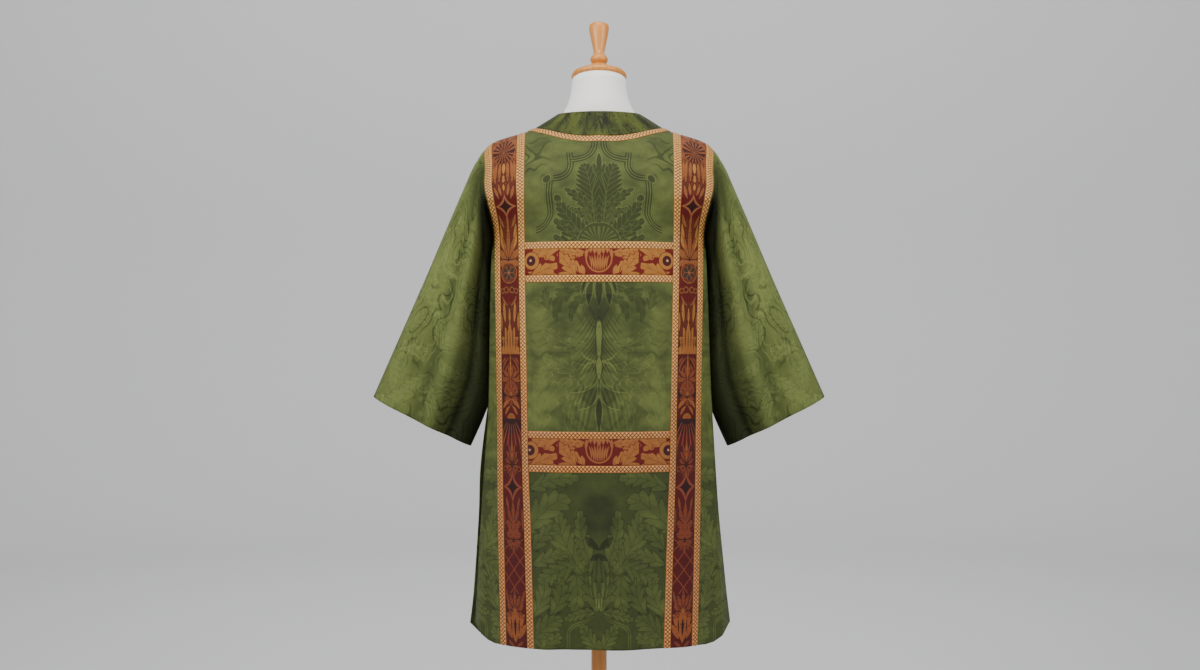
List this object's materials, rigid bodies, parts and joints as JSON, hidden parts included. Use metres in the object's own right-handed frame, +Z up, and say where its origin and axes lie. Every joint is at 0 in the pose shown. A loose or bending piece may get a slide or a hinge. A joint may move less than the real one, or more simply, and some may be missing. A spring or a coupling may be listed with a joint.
{
  "type": "dalmatic on a dress form",
  "caption": "Wide-sleeved open-sided church vestment in green silk damask with red and gold orphreys, on a limbless dress form with a turned wood neck cap, pole and foot.",
  "frame": {"origin": "on the floor under the middle of the stand's round foot", "axes": "+Z up, -Y out of the back of the garment, +X to the right of someone who looks at its back"},
  "size_m": [0.9338, 0.39, 1.7032],
  "materials": {
    "damask": "green silk damask, tone on tone, with a soft satin sheen",
    "brocade": "dark red silk with woven gold figures",
    "galloon": "tan-gold woven braid with a fine zigzag",
    "linen": "plain natural linen cover",
    "wood": "turned beech, satin varnish"
  },
  "bodies": {
    "root": {"back_cross_lower_band": "brocade", "back_cross_lower_braid_bottom": "galloon", "back_cross_lower_braid_top": "galloon", "back_cross_upper_band": "brocade", "back_cross_upper_braid_bottom": "galloon", "back_cross_upper_braid_top": "galloon", "back_neck_braid": "galloon", "back_orphrey_left_band": "brocade", "back_orphrey_left_braid_inner": "galloon", "back_orphrey_left_braid_outer": "galloon", "back_orphrey_right_band": "brocade", "back_orphrey_right_braid_inner": "galloon", "back_orphrey_right_braid_outer": "galloon", "back_panel": "damask", "collar": "damask", "finial": "wood", "form_torso": "linen", "front_cross_lower_band": "brocade", "front_cross_lower_braid_bottom": "galloon", "front_cross_lower_braid_top": "galloon", "front_cross_upper_band": "brocade", "front_cross_upper_braid_bottom": "galloon", "front_cross_upper_braid_top": "galloon", "front_neck_braid": "galloon", "front_orphrey_left_band": "brocade", "front_orphrey_left_braid_inner": "galloon", "front_orphrey_left_braid_outer": "galloon", "front_orphrey_right_band": "brocade", "front_orphrey_right_braid_inner": "galloon", "front_orphrey_right_braid_outer": "galloon", "front_panel": "damask", "neck_cap": "wood", "sleeve_left": "damask", "sleeve_right": "damask", "stand_base": "wood", "stand_pole": "wood"}
  },
  "joints": []
}
